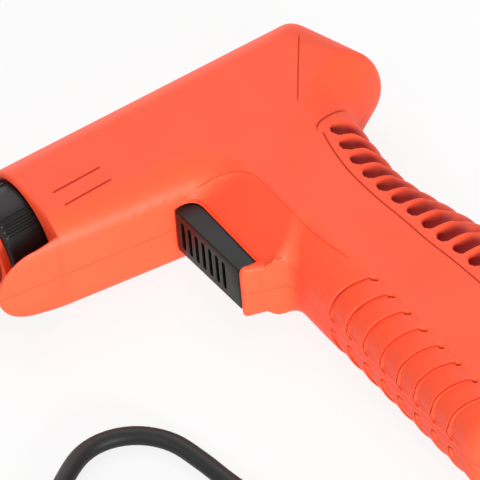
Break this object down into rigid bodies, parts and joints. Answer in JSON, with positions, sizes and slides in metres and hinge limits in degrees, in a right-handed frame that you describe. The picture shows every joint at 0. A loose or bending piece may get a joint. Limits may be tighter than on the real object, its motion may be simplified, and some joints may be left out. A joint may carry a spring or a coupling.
{
  "type": "glue gun",
  "caption": "Corded hot-melt glue gun: two half shells, sliding trigger with lever feed, heated chamber, twist ring, brass nozzle, ribbed grip, and a lead coiled beside it",
  "frame": {"origin": "on the flat right-hand side, which the gun lies on, under the barrel's axis and 0.3 mm ahead of the handle's front", "axes": "+X from the nozzle to the rear along the barrel's axis, +Y from the handle to the barrel's top, +Z from the right-hand side up to the left-hand side"},
  "size_m": [0.1899, 0.2394, 0.0346],
  "materials": {
    "shell_plastic": "coral-orange moulded plastic, faintly satin",
    "black_plastic": "black moulded plastic, satin",
    "nylon": "natural nylon",
    "red_silicone": "red heat-proof silicone",
    "mica_board": "pressed heat-proof board",
    "cast_aluminium": "as cast",
    "brass": "machined brass",
    "steel": "zinc-plated steel",
    "ceramic": "unglazed white ceramic",
    "black_rubber": "smooth black cord rubber"
  },
  "bodies": {
    "gun": {"right_housing": "shell_plastic", "left_housing": "shell_plastic", "nozzle": "brass", "nozzle_boot": "red_silicone", "melt_chamber": "cast_aluminium", "chamber_support_front": "mica_board", "chamber_support_rear": "mica_board", "heater_element": "ceramic", "heater_clip": "steel", "thermal_fuse": "ceramic", "inlet_sleeve": "red_silicone", "sleeve_clamp": "steel", "stick_guide": "black_plastic", "lever_pin": "steel", "trigger_spring": "steel", "terminal_block": "ceramic", "live_lead": "red_silicone", "neutral_lead": "nylon", "cord_clamp": "nylon", "clamp_screw_1": "steel", "clamp_screw_2": "steel", "strain_relief": "black_rubber", "inner_cord": "black_rubber", "power_cord": "black_rubber", "cord_coil": "black_rubber", "cord_tail": "black_rubber", "power_plug": "black_rubber", "plug_blade_1": "brass", "plug_blade_2": "brass", "housing_screw_1": "steel", "housing_screw_2": "steel", "housing_screw_3": "steel", "housing_screw_4": "steel", "housing_screw_5": "steel", "housing_screw_6": "steel"},
    "trigger": {"trigger": "black_plastic"},
    "lever": {"feed_lever": "nylon"},
    "carriage": {"feed_carriage": "nylon"},
    "ring": {"nose_ring": "black_plastic"}
  },
  "joints": [
    {"name": "trigger_slide", "type": "slide", "parent": "gun", "child": "trigger", "axis": [1, 0, 0], "range_m": [0, 0.0085], "stiffness_N_per_m": 500, "springref_m": -0.008, "deforming": ["trigger_spring"]},
    {"name": "lever_swing", "type": "hinge", "parent": "gun", "child": "lever", "pos_m": [0.02111, -0.024, 0.0173], "axis": [0, 0, 1], "range_deg": [0, 37.6]},
    {"name": "carriage_slide", "type": "slide", "parent": "gun", "child": "carriage", "axis": [-1, 0, 0], "range_m": [0, 0.00785]},
    {"name": "ring_twist", "type": "hinge", "parent": "gun", "child": "ring", "pos_m": [-0.0506, 0, 0.0173], "axis": [1, 0, 0], "range_deg": [0, 40]}
  ],
  "couplings": [
    {"joint": "lever_swing", "follows": "trigger_slide", "rad_per_m": 77.11},
    {"joint": "carriage_slide", "follows": "trigger_slide", "ratio": 0.92}
  ]
}
